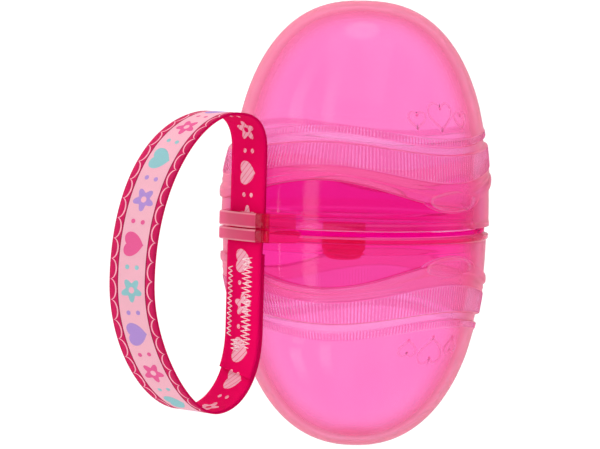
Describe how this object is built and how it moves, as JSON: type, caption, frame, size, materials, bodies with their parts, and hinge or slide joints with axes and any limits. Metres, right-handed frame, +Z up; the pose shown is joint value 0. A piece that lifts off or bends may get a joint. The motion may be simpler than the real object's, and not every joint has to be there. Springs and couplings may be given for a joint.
{
  "type": "pacifier case",
  "caption": "Egg-shaped pacifier case: clear pink caps push onto a tinted divider, with waved grip bands, thumb dishes and a woven ribbon loop through a lug on each cap.",
  "frame": {"origin": "middle of the small moulded flat that the case stands on, on its long axis", "axes": "+Z up the long axis from the lower cap to the upper; the thumb dishes face -Y; the ribbon and its lugs are on -X"},
  "size_m": [0.1067, 0.066, 0.11],
  "materials": {
    "clear_shell": "polished see-through pink moulding with a fine ribbed grip band",
    "tinted_divider": "polished see-through moulding, deeper pink than the caps",
    "woven_ribbon": "satin woven ribbon, pale pink face with crimson borders, crimson back"
  },
  "bodies": {
    "divider_and_ribbon": {"divider": "tinted_divider", "strap_ribbon": "woven_ribbon"},
    "upper_cap": {"upper_shell": "clear_shell"},
    "lower_cap": {"lower_shell": "clear_shell"}
  },
  "joints": [
    {"name": "upper_cap_pull", "type": "slide", "parent": "divider_and_ribbon", "child": "upper_cap", "axis": [0, 0, 1], "range_m": [0, 0.012]},
    {"name": "lower_cap_pull", "type": "slide", "parent": "divider_and_ribbon", "child": "lower_cap", "axis": [0, 0, -1], "range_m": [0, 0.012]}
  ]
}
